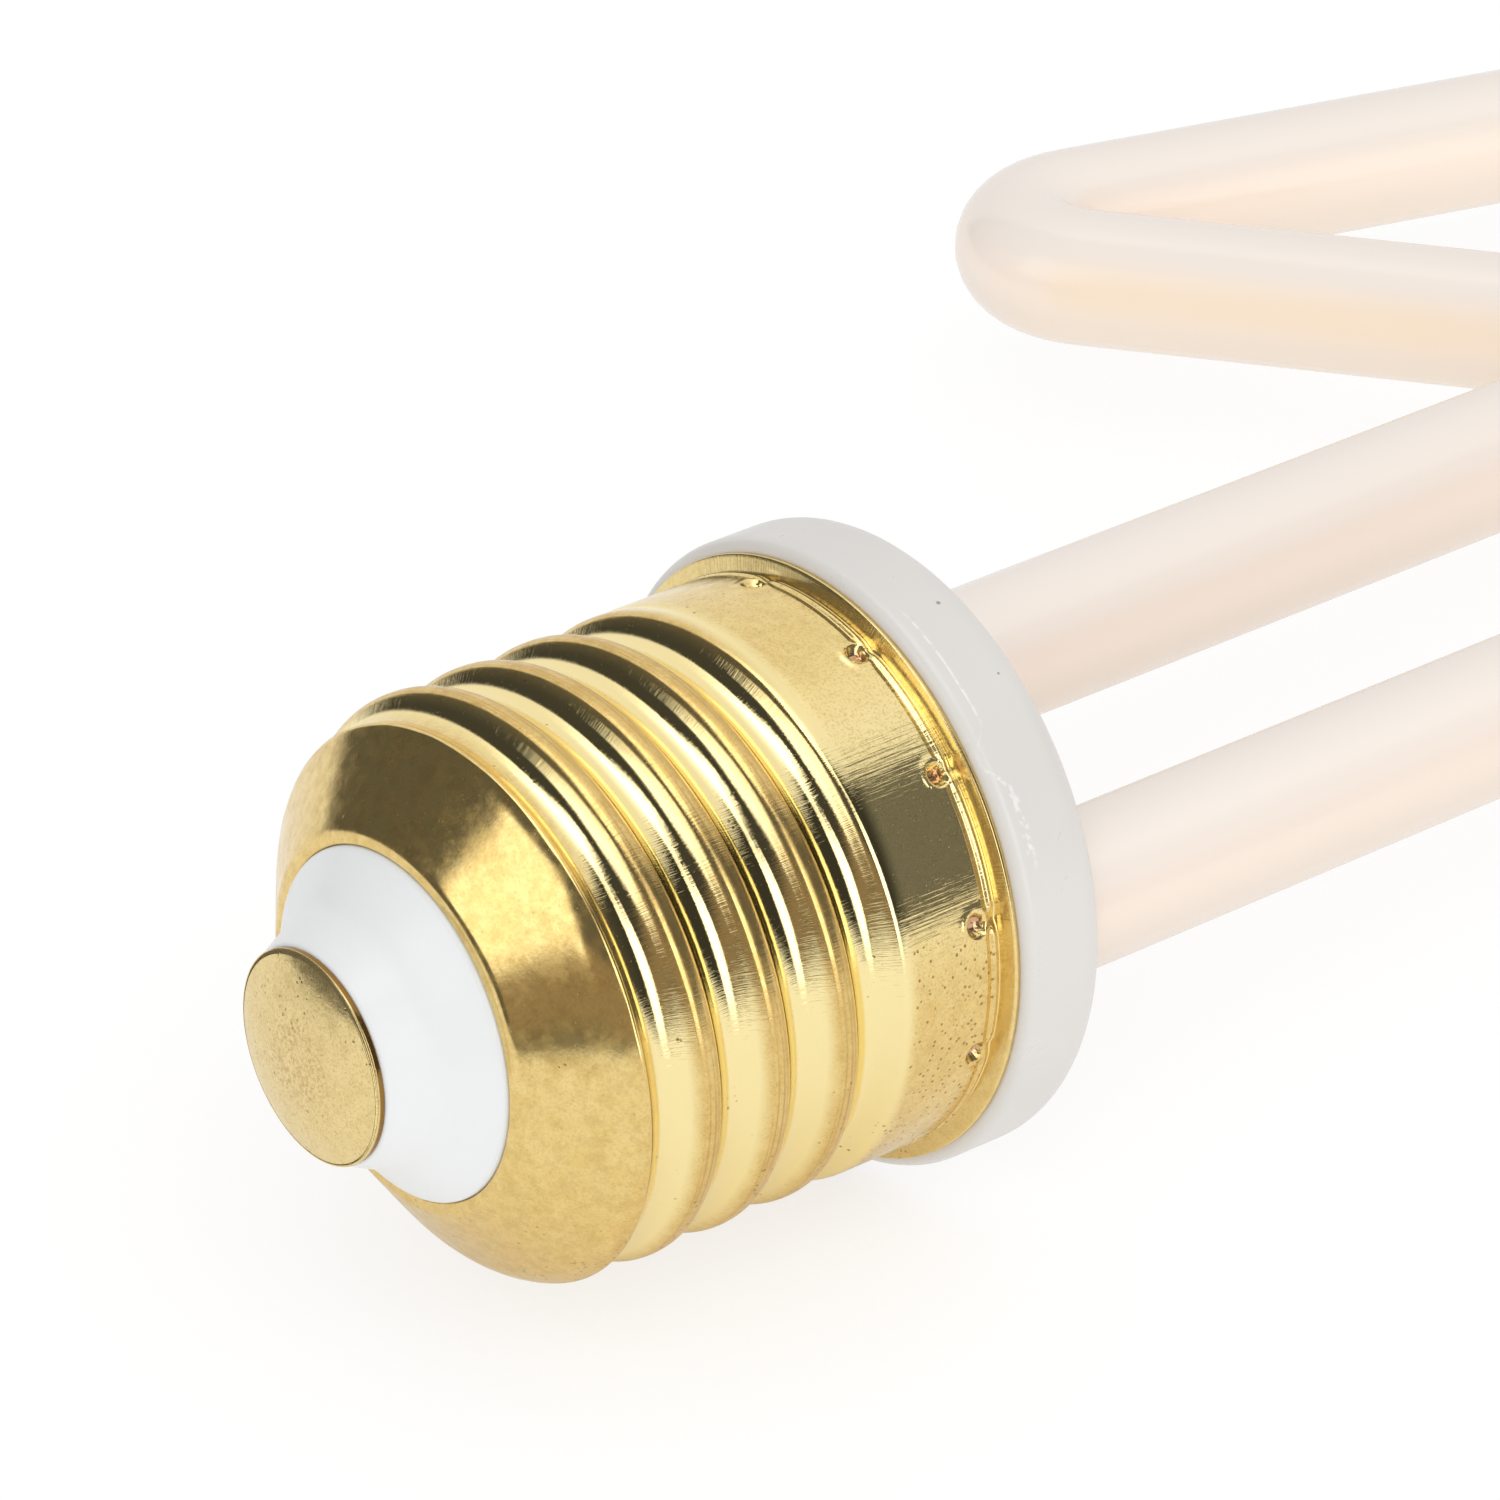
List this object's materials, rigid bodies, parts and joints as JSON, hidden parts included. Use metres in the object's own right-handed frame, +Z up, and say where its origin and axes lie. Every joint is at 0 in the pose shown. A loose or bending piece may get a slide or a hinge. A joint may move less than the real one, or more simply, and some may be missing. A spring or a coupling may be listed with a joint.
{
  "type": "star-shaped led bulb",
  "caption": "Opal tube bent into a star on a milky collar and a brass Edison screw cap with a white insulator; screws into a lamp holder and glows warm.",
  "frame": {"origin": "on the surface that the bulb lies on, under the middle of its outline", "axes": "+Y runs from the cap to the star's far tip, +Z is up, +X is to the right of the star seen from above with the cap towards the viewer"},
  "size_m": [0.1464, 0.211, 0.0287],
  "materials": {
    "cap_brass": "polished, with fine scuffs",
    "insulator_white": "smooth satin white",
    "collar_milky": "milky, faintly see-through at the edges",
    "tube_opal": "opal, satin, warm from the filament inside",
    "filament_amber": "amber silicone over the row of diodes",
    "board_green": "coated circuit board",
    "chip_black": "moulded black case",
    "film_yellow": "dipped film",
    "wire_tinned": "tinned wire"
  },
  "bodies": {
    "root": {"centre_contact": "cap_brass", "insulator": "insulator_white", "screw_shell": "cap_brass", "collar": "collar_milky", "star_tube": "tube_opal", "led_filament": "filament_amber", "driver_board": "board_green", "bridge_rectifier": "chip_black", "driver_chip": "chip_black", "smoothing_capacitor": "film_yellow", "fuse": "chip_black", "contact_lead": "wire_tinned", "shell_lead": "wire_tinned", "output_lead_right": "wire_tinned", "output_lead_left": "wire_tinned"}
  },
  "joints": []
}
